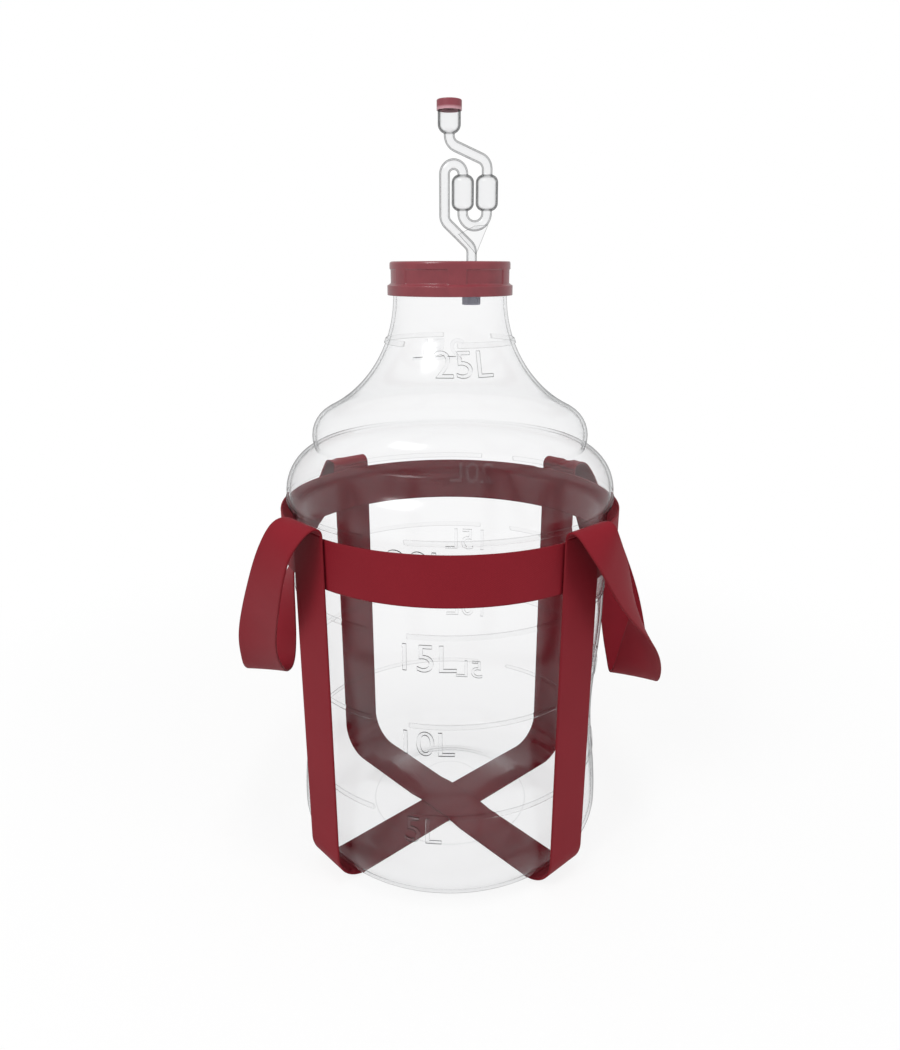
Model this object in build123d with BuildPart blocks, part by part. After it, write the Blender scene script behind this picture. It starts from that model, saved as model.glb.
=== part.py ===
from build123d import *
import math
import os

# A 25 litre wide-neck plastic demijohn in a carrying harness, with a screw cap and an S-shaped airlock.
# Millimetres. +Z is up, -Y faces the viewer, and the origin is on the axis, at the plane it stands on.

# Webbing of the harness
web_width = 43.0
web_thickness = 1.8
belt_clearance = 4.3          # round the widest part of the bottle, so that the harness slips off over it
belt_drop = 56.5              # from the middle of the lower bulge down to the belt's lower edge
sewn_gap = 0.05               # between the layers of webbing that are sewn together
strap_rise = 3.5              # over the belt, up to where the straps turn over into the handles
strap_corner_radius = 30.0    # inside radius of the strap round the bottom corner
strap_a_angle = 42.3          # direction of each strap across the base
strap_b_angle = 132.7
crossing_margin = 1.5         # flat beyond the edges of the strap that is crossed
crossing_ramp = 14.0          # length of the slope where one strap climbs over the other
ramp_rounding = 8.0
fold_radius = 6.5             # how tightly the webbing turns over at the belt

# Left handle, from its front fold to its back one. Each row is a point on the middle of the hanging band: how far
# it stands out from the straps, its direction from the axis and its drop below the strap tops, and then which way
# the band's width points there, as a turn about the vertical and a tilt up from level. Directions in degrees.
handle_route = (
    (18.8, 221.7, 0, -54, -12),
    (25.6, 219.8, 16, -53, -22),
    (27.9, 213.4, 55, -41, -32),
    (26.7, 204.3, 94, -30, -30),
    (26.5, 194.6, 137, -16, -20),
    (24.9, 189.3, 158, -9, -12),
    (23.9, 183.5, 174, -3, -4),
    (22.7, 177.4, 180, -4, 4),
    (23.9, 170.7, 170, -15, 11),
    (26.3, 164.4, 145, -34, 17),
    (28.6, 158.3, 115, -57, 23),
    (27.9, 152.7, 88, -78, 28),
    (25.4, 147.2, 66, -94, 32),
    (23.4, 142.0, 45, -107, 33),
    (21.5, 137.3, 23, -116, 29),
    (17.8, 133.8, 4, -125, 19),
)

# Bottle, outside
widest_radius = 147.5
lower_bulge_radius = 40.0
lower_bulge_height = 348.0    # of the middle of the lower bulge
upper_bulge_radius = 25.0
upper_bulge_rise = 48.5       # from the middle of the lower bulge to that of the upper one
upper_bulge_inset = 10.25     # how much nearer the axis it is
crease_fillet = 2.0
groove_depth = 4.1            # plain wall under the lower bulge, where the belt runs
groove_drop = 32.0
body_inset = 3.3
body_drop = 94.0              # from the groove down to where the body is fullest
waist_inset = 7.9
waist_height = 125.0
foot_inset = 0.2
corner_radius = 29.0
neck_radius = 48.4
neck_sweep_radius = 107.0
wall = 2.6

# Pushed-up base of the bottle
foot_ring_width = 18.3        # flat ring that it stands on
punt_slope_width = 22.0
punt_step_height = 10.0
punt_bow_radius = 42.9        # a point halfway up the dome
punt_bow_height = 25.4
punt_ring_radius = 28.0
punt_ring_height = 29.2
punt_centre_height = 31.4

# Raised level ribs: two arcs at each level, with the level's figures near the start of the front one
body_level_heights = (92.6, 180.9, 262.5)
shoulder_level_drop = 6.7     # below the middle of the lower bulge
neck_level_drop = 37.7        # below the straight neck
rib_width = 4.6
rib_height = 1.2
rib_start = 256.0
rib_span = 167.0
neck_rib_start = 275.0
neck_rib_span = 134.0

# Neck finish, hidden by the cap
finish_inset = 1.8
finish_step = 2.0
finish_height = 22.4
lip_rounding = 0.8

# The bottle is stored in four slices, cut level, so that its collision can follow the thin wall
foot_slice_rise = 14.2        # over the middle of the bottom corner
wall_slice_drop = 17.0        # below the middle of the lower bulge
shoulder_slice_rise = 22.5    # over the middle of the upper bulge

# Screw cap
part_gap = 0.3                # between pieces that move apart
cap_clearance = 0.4           # round the neck and round the gasket
cap_wall = 2.2
cap_flange_step = 2.2
cap_height = 27.2
cap_flange_height = 8.0
cap_ledge = 1.0
cap_top_thickness = 2.6
cap_rounding = 2.2
grip_count = 6
grip_span = 16.0              # degrees of each raised grip block
grip_first_angle = 276.5
panel_depth = 0.8
panel_height = 12.0
boss_wall = 1.6
boss_height = 2.4

# Gasket under the cap
gasket_thickness = 1.4
gasket_seat = 5.6             # how far its inner edge lies inside the outside of the lip

# Rubber grommet in the cap
stem_x = 18.2                 # how far the airlock stands off the cap's middle
grommet_wall = 2.05
grommet_skirt_wall = 3.45
grommet_flange_wall = 4.65
grommet_flange_thickness = 1.6
grommet_length = 35.2
grommet_clearance = 0.1

# Airlock: centre line in the X-Z plane, measured from the cap's top
tube_radius = 4.3
tube_wall = 1.0
running_clearance = 0.05
stem_depth = 31.0
lower_bend_height = 10.8
left_tube_x = -4.5
upper_bend_height = 32.0
top_bend_height = 67.5
left_bulb_x = 10.5
right_bulb_x = 30.3
bulb_radius = 9.1
bulb_bottom = 39.5
bulb_length = 27.6
bulb_rounding = 6.0
chamber_stub = 1.6            # straight tube between each chamber and the trap
outlet_bend_rise = 9.6        # from the crown's ends up to the outlet's first bend
cup_x = -0.6
cup_bend_rise = 13.4          # from the outlet's first bend up to its second
cup_rise = 6.8                # from there up to the bottom of the cup
cup_radius = 9.2
cup_depth = 23.0
cup_rounding = 7.0
bend_radius = 9.0
fin_thickness = 1.2
fin_foot_height = 5.5
fin_tip = (31.9, 29.0)
slice_margin = 0.5            # the stem and the cup are stored apart, cut this far below the fin and the cup

# Dust cap of the airlock
dust_cap_wall = 0.85
dust_cap_grip = 6.1           # how far it reaches down over the cup
dust_cap_top_thickness = 1.3
dust_cap_rounding = 0.8
vent_radius = 0.8
vent_circle_radius = 4.6
vent_count = 4

# Values that follow from the sizes above
bottle_base = web_thickness
belt_inner_radius = widest_radius + belt_clearance
belt_outer_radius = belt_inner_radius + web_thickness
belt_bottom = lower_bulge_height - belt_drop
strap_top = belt_bottom + web_width + strap_rise
strap_inner_radius = belt_outer_radius + sewn_gap
strap_outer_radius = strap_inner_radius + web_thickness
groove_radius = widest_radius - groove_depth
groove_height = lower_bulge_height - groove_drop
body_radius = widest_radius - body_inset
body_height = groove_height - body_drop
waist_radius = widest_radius - waist_inset
corner_centre = (widest_radius - foot_inset - corner_radius, bottle_base + corner_radius)
foot_ring_inner_radius = corner_centre[0] - foot_ring_width
punt_step_radius = foot_ring_inner_radius - punt_slope_width
lower_bulge_centre = (widest_radius - lower_bulge_radius, lower_bulge_height)
upper_bulge_centre = (lower_bulge_centre[0] - upper_bulge_inset, lower_bulge_height + upper_bulge_rise)
neck_sweep_rise = math.sqrt(
    (upper_bulge_radius + neck_sweep_radius) ** 2 - (neck_radius + neck_sweep_radius - upper_bulge_centre[0]) ** 2
)
neck_height = upper_bulge_centre[1] + neck_sweep_rise
neck_sweep_centre = (neck_radius + neck_sweep_radius, neck_height)
finish_radius = neck_radius - finish_inset
finish_step_height = neck_height + finish_step
lip_height = neck_height + finish_height
gasket_bottom = lip_height + part_gap
gasket_top = gasket_bottom + gasket_thickness
cap_underside = gasket_top + part_gap
cap_height_top = cap_underside + cap_top_thickness
cap_bottom = cap_height_top - cap_height
cap_bore_radius = neck_radius + cap_clearance
cap_radius = cap_bore_radius + cap_wall
cap_flange_radius = cap_radius + cap_flange_step
stem_bore = tube_radius + running_clearance
grommet_neck_radius = stem_bore + grommet_wall
grommet_flange_radius = stem_bore + grommet_flange_wall
outlet_bend_height = top_bend_height + outlet_bend_rise
cup_bend_height = outlet_bend_height + cup_bend_rise
cup_bottom = cup_bend_height + cup_rise
cup_top = cup_bottom + cup_depth
foot_top = corner_centre[1] + foot_slice_rise
wall_top = lower_bulge_centre[1] - wall_slice_drop
shoulder_top = upper_bulge_centre[1] + shoulder_slice_rise

os.makedirs("parts", exist_ok=True)


def crease(inset):
    """Where the two bulge circles of the shoulder meet, both drawn smaller by the inset."""
    lower = lower_bulge_radius - inset
    upper = upper_bulge_radius - inset
    dx = upper_bulge_centre[0] - lower_bulge_centre[0]
    dz = upper_bulge_centre[1] - lower_bulge_centre[1]
    apart = math.hypot(dx, dz)
    along = (lower**2 - upper**2 + apart**2) / (2 * apart)
    across = math.sqrt(lower**2 - along**2)
    return (
        lower_bulge_centre[0] + (dx * along + dz * across) / apart,
        lower_bulge_centre[1] + (dz * along - dx * across) / apart,
    )


def on_circle(centre, radius, degrees):
    """Point of a circle in the half-section at an angle from the outward direction."""
    angle = math.radians(degrees)
    return (centre[0] + radius * math.cos(angle), centre[1] + radius * math.sin(angle))


def angle_of(centre, point):
    return math.degrees(math.atan2(point[1] - centre[1], point[0] - centre[0]))


def arc_between(centre, radius, start, end):
    """Arc about a centre from one angle to another, in degrees."""
    middle = (start + end) / 2
    ThreePointArc(
        on_circle(centre, radius, start), on_circle(centre, radius, middle), on_circle(centre, radius, end)
    )


def bottle_outline(inset, top_radius, top_height):
    """Half-section of the bottle from the middle of its base to the top of its neck, set in by the wall."""
    floor = bottle_base + inset
    punt_centre = (0, floor + punt_centre_height)
    punt_ring = (punt_ring_radius, floor + punt_ring_height)
    punt_step = (punt_step_radius, floor + punt_step_height)
    foot_inner = (foot_ring_inner_radius, floor)
    Line(punt_centre, punt_ring)
    ThreePointArc(punt_ring, (punt_bow_radius, floor + punt_bow_height), punt_step)
    Line(punt_step, foot_inner)
    Line(foot_inner, (corner_centre[0], floor))
    arc_between(corner_centre, corner_radius - inset, -90, 0)
    body_start = on_circle(corner_centre, corner_radius - inset, 0)
    bulge_drop = math.sqrt(
        (lower_bulge_radius - inset) ** 2 - (groove_radius - inset - lower_bulge_centre[0]) ** 2
    )
    bulge_start = (groove_radius - inset, lower_bulge_height - bulge_drop)
    Spline(
        body_start,
        (waist_radius - inset, waist_height),
        (body_radius - inset, body_height),
        (groove_radius - inset, groove_height),
        tangents=((0, 1), (0, 1)),
    )
    Line((groove_radius - inset, groove_height), bulge_start)
    meeting = crease(inset)
    arc_between(
        lower_bulge_centre,
        lower_bulge_radius - inset,
        angle_of(lower_bulge_centre, bulge_start),
        angle_of(lower_bulge_centre, meeting),
    )
    tangent_angle = angle_of(upper_bulge_centre, neck_sweep_centre)
    arc_between(
        upper_bulge_centre, upper_bulge_radius - inset, angle_of(upper_bulge_centre, meeting), tangent_angle
    )
    arc_between(neck_sweep_centre, neck_sweep_radius + inset, tangent_angle + 180, 180)
    neck_end = (neck_radius - inset, finish_step_height)
    Line((neck_radius - inset, neck_height), neck_end)
    if top_radius < neck_end[0]:
        Line(neck_end, (top_radius, finish_step_height + neck_end[0] - top_radius))
        neck_end = (top_radius, finish_step_height + neck_end[0] - top_radius)
    Line(neck_end, (top_radius, top_height))
    Line((top_radius, top_height), (0, top_height))
    Line((0, top_height), punt_centre)


def half_plane(degrees):
    """Upright plane through the axis: its x points outwards at an angle about Z, its y points up."""
    outward = Vector(1, 0, 0).rotate(Axis.Z, degrees)
    return Plane((0, 0, 0), x_dir=outward, z_dir=outward.cross(Vector(0, 0, 1)))


# Bottle: blown in one piece, with a pushed-up base, a waisted body, a shoulder of two bulges and raised ribs
with BuildPart() as bottle:
    with BuildSketch(Plane.XZ) as profile:
        with BuildLine():
            bottle_outline(0, finish_radius, lip_height)
        make_face()
        fillet(profile.vertices().sort_by_distance(crease(0))[0], crease_fillet)
    revolve(axis=Axis.Z)
    level_arcs = [(height, rib_start, rib_span) for height in body_level_heights]
    level_arcs.append((lower_bulge_height - shoulder_level_drop, rib_start, rib_span))
    level_arcs.append((neck_height - neck_level_drop, neck_rib_start, neck_rib_span))
    for height, start, span in level_arcs:
        for turned in (0, 180):
            with BuildSketch(half_plane(start + turned)):
                with BuildLine():
                    bottle_outline(-rib_height, finish_radius, lip_height)
                make_face()
                with Locations((widest_radius, height)):
                    Rectangle(2 * widest_radius - wall, rib_width, mode=Mode.INTERSECT)
            revolve(axis=Axis.Z, revolution_arc=span)
    with BuildSketch(Plane.XZ):
        with BuildLine():
            bottle_outline(wall, finish_radius - wall, lip_height)
        make_face()
    revolve(axis=Axis.Z, mode=Mode.SUBTRACT)
    fillet(bottle.edges().filter_by(GeomType.CIRCLE).group_by(Axis.Z)[-1], lip_rounding)


def store_slice(whole, name, low, high):
    """Keeps what lies between two level cuts, as a piece of its own that meets the next one face to face."""
    with BuildPart() as piece:
        add(whole)
        if high is not None:
            split(bisect_by=Plane.XY.offset(high), keep=Keep.BOTTOM)
        if low is not None:
            split(bisect_by=Plane.XY.offset(low), keep=Keep.TOP)
    piece.part.label = name
    export_step(piece.part, f"parts/{name}.step")


store_slice(bottle.part, "bottle_foot", None, foot_top)
store_slice(bottle.part, "bottle_wall", foot_top, wall_top)
store_slice(bottle.part, "bottle_shoulder", wall_top, shoulder_top)
store_slice(bottle.part, "bottle_neck", shoulder_top, None)

# Belt: a ring of flat webbing round the body, just under the shoulder
with BuildPart() as belt:
    with BuildSketch(Plane.XY.offset(belt_bottom)):
        Circle(belt_outer_radius)
        Circle(belt_inner_radius, mode=Mode.SUBTRACT)
    extrude(amount=web_width)
belt.part.label = "belt"
export_step(belt.part, "parts/belt.step")


def strap_face(lift):
    """Side of a strap that runs down the body, under the base and up again, with the lift over its crossing."""
    flat_end = web_width / 2 + crossing_margin
    ramp_end = flat_end + crossing_ramp
    for radius, height, rounding in (
        (strap_inner_radius, web_thickness, strap_corner_radius),
        (strap_outer_radius, 0, strap_corner_radius + web_thickness),
    ):
        if lift:
            FilletPolyline(
                (radius, strap_top), (radius, height), (ramp_end, height), (flat_end, height + lift),
                (-flat_end, height + lift), (-ramp_end, height), (-radius, height), (-radius, strap_top),
                radius=[rounding, ramp_rounding, ramp_rounding, ramp_rounding, ramp_rounding, rounding],
            )
        else:
            FilletPolyline(
                (radius, strap_top), (radius, height), (-radius, height), (-radius, strap_top), radius=rounding
            )
    for side in (1, -1):
        Line((side * strap_inner_radius, strap_top), (side * strap_outer_radius, strap_top))


# Straps: two lengths of webbing that cross under the base and are sewn over the belt at four corners
with BuildPart() as strap_a:
    with BuildSketch(half_plane(strap_a_angle)):
        with BuildLine():
            strap_face(0)
        make_face()
    extrude(amount=web_width / 2, both=True)
strap_a.part.label = "strap_a"
export_step(strap_a.part, "parts/strap_a.step")

with BuildPart() as strap_b:
    with BuildSketch(half_plane(strap_b_angle)):
        with BuildLine():
            strap_face(web_thickness + sewn_gap)
        make_face()
    extrude(amount=web_width / 2, both=True)
strap_b.part.label = "strap_b"
export_step(strap_b.part, "parts/strap_b.step")


def fold_sections(angle, width_turn):
    """Centre, width and travel directions of the webbing as it turns from a strap's top out over the belt."""
    outward = Vector(1, 0, 0).rotate(Axis.Z, angle)
    middle = (strap_inner_radius + strap_outer_radius) / 2
    sections = []
    for degrees in (0, 30, 60, 90):
        bend = math.radians(degrees)
        centre = outward * (middle + fold_radius * (1 - math.cos(bend)))
        centre += Vector(0, 0, strap_top + fold_radius * math.sin(bend))
        travel = outward * math.sin(bend) + Vector(0, 0, math.cos(bend))
        sections.append((centre, Vector(1, 0, 0).rotate(Axis.Z, width_turn), travel))
    return sections


def handle_stretches():
    """Planes across the left handle, in three stretches: its front fold, its hanging loop and its back fold."""
    front = fold_sections(strap_a_angle + 180, strap_a_angle - 90)
    back = fold_sections(strap_b_angle, strap_b_angle - 270)
    back = [(centre, width, travel * -1) for centre, width, travel in reversed(back)]
    points = [
        Vector(strap_outer_radius + reach, 0, strap_top - drop).rotate(Axis.Z, direction)
        for reach, direction, drop, turn, tilt in handle_route
    ]
    with BuildLine(mode=Mode.PRIVATE):
        route = Spline(front[-1][0], *points, back[0][0])
    loop = [front[-1]]
    for point, row in zip(points, handle_route):
        turn, tilt = math.radians(row[3]), math.radians(row[4])
        width = Vector(math.cos(turn) * math.cos(tilt), math.sin(turn) * math.cos(tilt), math.sin(tilt))
        loop.append((point, width, route.tangent_at(route.param_at_point(point))))
    loop.append(back[0])
    return [
        [
            Plane(centre, x_dir=width - travel * width.dot(travel), z_dir=travel)
            for centre, width, travel in stretch
        ]
        for stretch in (front, loop, back)
    ]


# Handles: the webbing goes on from the strap tops as two hanging loops, each with a half twist
with BuildPart() as handle_left:
    for stretch in handle_stretches():
        for plane in stretch:
            with BuildSketch(plane):
                Rectangle(web_width, web_thickness)
        loft()
handle_left.part.label = "handle_left"
export_step(handle_left.part, "parts/handle_left.step")

with BuildPart() as handle_right:
    add(handle_left.part, rotation=(0, 0, 180))
handle_right.part.label = "handle_right"
export_step(handle_right.part, "parts/handle_right.step")

# Screw cap: moulded, with a flange at its foot and sunk panels between six raised grip blocks
with BuildPart() as screw_cap:
    flange_top = cap_bottom + cap_flange_height
    with BuildSketch(Plane.XZ):
        with BuildLine():
            FilletPolyline(
                (0, cap_height_top), (cap_radius, cap_height_top), (cap_radius, flange_top + cap_ledge),
                radius=cap_rounding,
            )
            Polyline(
                (cap_radius, flange_top + cap_ledge), (cap_flange_radius, flange_top),
                (cap_flange_radius, cap_bottom), (cap_bore_radius, cap_bottom),
                (cap_bore_radius, cap_underside), (0, cap_underside), (0, cap_height_top),
            )
        make_face()
    revolve(axis=Axis.Z)
    for count in range(grip_count):
        with BuildSketch(half_plane(grip_first_angle + grip_span / 2 + count * 360 / grip_count)):
            with Locations((cap_radius + cap_ledge, flange_top + cap_ledge + panel_height / 2)):
                Rectangle(2 * (panel_depth + cap_ledge), panel_height)
        revolve(axis=Axis.Z, revolution_arc=360 / grip_count - grip_span, mode=Mode.SUBTRACT)
    with Locations((stem_x, 0, cap_underside - boss_height / 2)):
        Cylinder(grommet_flange_radius + boss_wall, boss_height)
    with Locations((stem_x, 0, cap_height_top)):
        CounterBoreHole(
            grommet_neck_radius + grommet_clearance, grommet_flange_radius + grommet_clearance,
            grommet_flange_thickness, depth=cap_top_thickness + boss_height,
        )
screw_cap.part.label = "screw_cap"
export_step(screw_cap.part, "parts/screw_cap.step")

# Gasket: a soft flat ring between the neck's lip and the cap
with BuildPart() as cap_gasket:
    with BuildSketch(Plane.XY.offset(gasket_bottom)):
        Circle(cap_bore_radius - cap_clearance)
        Circle(finish_radius - gasket_seat, mode=Mode.SUBTRACT)
    extrude(amount=gasket_thickness)
cap_gasket.part.label = "cap_gasket"
export_step(cap_gasket.part, "parts/cap_gasket.step")

# Grommet: a rubber sleeve that snaps into the cap's hole and grips the airlock's stem
with BuildPart() as airlock_grommet:
    grommet_seat = cap_height_top - grommet_flange_thickness
    grommet_shoulder = cap_underside - boss_height
    grommet_bottom = cap_height_top - grommet_length
    grommet_skirt_radius = stem_bore + grommet_skirt_wall
    with BuildSketch(Plane.XZ):
        with BuildLine():
            Polyline(
                (stem_x + stem_bore, grommet_bottom),
                (stem_x + grommet_skirt_radius, grommet_bottom),
                (stem_x + grommet_skirt_radius, grommet_shoulder),
                (stem_x + grommet_neck_radius, grommet_shoulder),
                (stem_x + grommet_neck_radius, grommet_seat),
                (stem_x + grommet_flange_radius, grommet_seat),
                (stem_x + grommet_flange_radius, cap_height_top),
                (stem_x + stem_bore, cap_height_top),
                close=True,
            )
        make_face()
    revolve(axis=Axis((stem_x, 0, 0), (0, 0, 1)))
airlock_grommet.part.label = "airlock_grommet"
export_step(airlock_grommet.part, "parts/airlock_grommet.step")


def tube_route():
    """Centre line of the airlock: stem, left tube, crown, two chambers with the trap between them, and outlet."""
    chamber_joint = bulb_bottom - chamber_stub
    trap_radius = (right_bulb_x - left_bulb_x) / 2
    crown_radius = (left_bulb_x - left_tube_x) / 2
    FilletPolyline(
        (stem_x, -stem_depth), (stem_x, lower_bend_height), (left_tube_x, upper_bend_height),
        (left_tube_x, top_bend_height), radius=bend_radius,
    )
    ThreePointArc(
        (left_tube_x, top_bend_height), (left_tube_x + crown_radius, top_bend_height + crown_radius),
        (left_bulb_x, top_bend_height),
    )
    Line((left_bulb_x, top_bend_height), (left_bulb_x, chamber_joint))
    ThreePointArc(
        (left_bulb_x, chamber_joint), (left_bulb_x + trap_radius, chamber_joint - trap_radius),
        (right_bulb_x, chamber_joint),
    )
    FilletPolyline(
        (right_bulb_x, chamber_joint), (right_bulb_x, outlet_bend_height), (cup_x, cup_bend_height),
        (cup_x, cup_bottom + tube_radius), radius=bend_radius,
    )


# Airlock: a clear S-shaped tube with two chambers, an open cup at the top and a thin fin that braces its foot
airlock_plane = Plane.XZ.shift_origin((0, 0, cap_height_top))
with BuildPart() as airlock:
    with BuildSketch(airlock_plane):
        Polygon(
            (stem_x + tube_radius - tube_wall / 2, fin_foot_height),
            fin_tip,
            ((left_bulb_x + right_bulb_x) / 2, fin_tip[1] - tube_wall),
            ((stem_x + left_tube_x) / 2, (lower_bend_height + upper_bend_height) / 2),
            align=None,
        )
    extrude(amount=fin_thickness / 2, both=True)
    for skin, mode in ((0, Mode.ADD), (tube_wall, Mode.SUBTRACT)):
        with BuildLine(airlock_plane) as route:
            tube_route()
        with BuildSketch(Plane.XY.offset(cap_height_top - stem_depth)):
            with Locations((stem_x, 0)):
                Circle(tube_radius - skin)
        sweep(path=route.wires()[0], mode=mode)
        for bulb_x in (left_bulb_x, right_bulb_x):
            side = bulb_x + bulb_radius - skin
            low = bulb_bottom + skin
            high = bulb_bottom + bulb_length - skin
            with BuildSketch(airlock_plane):
                with BuildLine():
                    FilletPolyline(
                        (bulb_x, low), (side, low), (side, high), (bulb_x, high), radius=bulb_rounding - skin
                    )
                    Line((bulb_x, high), (bulb_x, low))
                make_face()
            revolve(axis=Axis((bulb_x, 0, 0), (0, 0, 1)), mode=mode)
        side = cup_x + cup_radius - skin
        low = cup_bottom + skin
        with BuildSketch(airlock_plane):
            with BuildLine():
                FilletPolyline((cup_x, low), (side, low), (side, cup_top), radius=cup_rounding - skin)
                Polyline((side, cup_top), (cup_x, cup_top), (cup_x, low))
            make_face()
        revolve(axis=Axis((cup_x, 0, 0), (0, 0, 1)), mode=mode)

stem_end = cap_height_top + fin_foot_height - slice_margin
cup_start = cap_height_top + cup_bottom - slice_margin
store_slice(airlock.part, "airlock_stem", None, stem_end)
store_slice(airlock.part, "airlock_trap", stem_end, cup_start)
store_slice(airlock.part, "airlock_top", cup_start, None)

# Dust cap: a push-on cap with vent holes over the airlock's cup
with BuildPart() as airlock_cap:
    skirt_bottom = cap_height_top + cup_top - dust_cap_grip
    cap_bore = cup_radius + running_clearance
    hollow_top = cap_height_top + cup_top + part_gap
    with BuildSketch(Plane.XY.offset(skirt_bottom)):
        with Locations((cup_x, 0)):
            Circle(cap_bore + dust_cap_wall)
    extrude(amount=hollow_top + dust_cap_top_thickness - skirt_bottom)
    fillet(airlock_cap.edges().group_by(Axis.Z)[-1], dust_cap_rounding)
    with BuildSketch(Plane.XY.offset(skirt_bottom)):
        with Locations((cup_x, 0)):
            Circle(cap_bore)
    extrude(amount=hollow_top - skirt_bottom, mode=Mode.SUBTRACT)
    with Locations((cup_x, 0, hollow_top + dust_cap_top_thickness)):
        with PolarLocations(vent_circle_radius, vent_count):
            Hole(vent_radius, depth=2 * dust_cap_top_thickness)
airlock_cap.part.label = "airlock_cap"
export_step(airlock_cap.part, "parts/airlock_cap.step")
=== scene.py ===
import bmesh
import bpy
import math
import numpy as np
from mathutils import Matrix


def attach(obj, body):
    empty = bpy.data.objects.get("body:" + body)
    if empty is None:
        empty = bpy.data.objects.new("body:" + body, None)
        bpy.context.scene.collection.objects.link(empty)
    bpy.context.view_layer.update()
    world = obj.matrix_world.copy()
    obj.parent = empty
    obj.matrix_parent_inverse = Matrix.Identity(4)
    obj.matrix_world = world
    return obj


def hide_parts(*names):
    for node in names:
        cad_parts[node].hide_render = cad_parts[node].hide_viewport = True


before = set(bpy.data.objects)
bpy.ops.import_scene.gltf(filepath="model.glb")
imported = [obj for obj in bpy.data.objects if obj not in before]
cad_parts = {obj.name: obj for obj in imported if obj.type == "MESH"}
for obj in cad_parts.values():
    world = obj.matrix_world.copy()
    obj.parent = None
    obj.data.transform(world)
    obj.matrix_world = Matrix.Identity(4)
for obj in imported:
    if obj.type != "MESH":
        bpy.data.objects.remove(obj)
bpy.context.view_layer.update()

# Camera: it stands 0.70 m in front of the demijohn's axis and looks down at it by 18 degrees, as in the photograph.
camera = bpy.data.objects.new("camera", bpy.data.cameras.new("camera"))
bpy.context.collection.objects.link(camera)
camera.location = (0, -0.7007, 0.5379)
camera.rotation_euler = (math.radians(71.845), 0, 0)
camera.data.lens = 27.03
bpy.context.scene.camera = camera
bpy.context.scene.view_settings.view_transform = "Standard"

# Studio: a white world that the camera and clear plastic see as white. Reflections see it paler than it is lit, so
# that clear walls get grey outlines, and it lights things gently. Three soft lamps stand round the demijohn.
class Flow:
    """A shader socket. Arithmetic on it adds Math nodes, and add() makes any other node."""

    def __init__(self, tree, socket=None):
        self.tree, self.socket = tree, socket

    def add(self, kind, settings=None, inputs=None, output=0):
        node = self.tree.nodes.new("ShaderNode" + kind)
        for name, value in (settings or {}).items():
            setattr(node, name, value)
        for key, value in (inputs or {}).items():
            if isinstance(value, Flow):
                self.tree.links.new(value.socket, node.inputs[key])
            else:
                node.inputs[key].default_value = value
        return Flow(self.tree, node.outputs[output])

    def math(self, operation, *others):
        return self.add("Math", {"operation": operation}, dict(enumerate((self, *others))))

    def __add__(self, other):
        return self.math("ADD", other)

    def __mul__(self, other):
        return self.math("MULTIPLY", other)

    def __sub__(self, other):
        return self.math("SUBTRACT", other)

    def __rsub__(self, other):
        return (self * -1).math("ADD", other)

    __radd__, __rmul__ = __add__, __mul__

    def between(self, low, high):
        """0 below low, 1 above high, and smooth between them."""
        settings = {"interpolation_type": "SMOOTHSTEP"}
        return self.add("MapRange", settings, {"Value": self, "From Min": low, "From Max": high})

    def mix(self, first, second):
        """Blend of two colours by this socket."""
        return self.add("Mix", {"data_type": "RGBA"}, {0: self, 6: first, 7: second}, 2)


def new_material(name, **values):
    """Principled material: the values go straight on its sockets. Returns it, its tree as a Flow and its shader."""
    material = bpy.data.materials.new(name)
    material.use_nodes = True
    shader = material.node_tree.nodes["Principled BSDF"]
    for socket, value in values.items():
        shader.inputs[socket.replace("_", " ")].default_value = value
    return material, Flow(material.node_tree), shader


world = bpy.data.worlds.new("studio")
world.use_nodes = True
bpy.context.scene.world = world
sky = Flow(world.node_tree)
mirrored_share = 0.2
rays = [sky.add("LightPath", output=name) for name in ("Is Camera Ray", "Is Glossy Ray", "Is Transmission Ray")]
seen = rays[0].math("MAXIMUM", rays[1] * mirrored_share).math("MAXIMUM", rays[2])
backdrop = world.node_tree.nodes["Background"]
backdrop.inputs["Color"].default_value = (1, 1, 1, 1)
scattered = sky.add("LightPath", output="Diffuse Depth").math("MINIMUM", 1)
world.node_tree.links.new((seen * (1 - scattered) * 0.45 + 0.55).socket, backdrop.inputs["Strength"])


def soft_lamp(name, place, aim, size, watts, mirrored):
    """Square area lamp at a place, turned to face a point. Glossy surfaces mirror it or don't."""
    lamp = bpy.data.lights.new(name, "AREA")
    lamp.size, lamp.energy = size, watts
    holder = bpy.data.objects.new(name, lamp)
    bpy.context.collection.objects.link(holder)
    holder.location = place
    away = np.subtract(place, aim)
    flat = math.hypot(away[0], away[1])
    holder.rotation_euler = (math.atan2(flat, away[2]), 0, math.atan2(away[0], -away[1]))
    holder.visible_glossy = mirrored
    holder.visible_transmission = False


soft_lamp("key_lamp", (-1.1, -1.3, 1.9), (0, 0, 0.3), 0.8, 26, True)
soft_lamp("fill_lamp", (1.5, -1.0, 1.2), (0, 0, 0.3), 0.9, 9, False)
soft_lamp("top_lamp", (0.1, -0.35, 2.3), (0, 0, 0.4), 0.5, 10, False)

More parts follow.
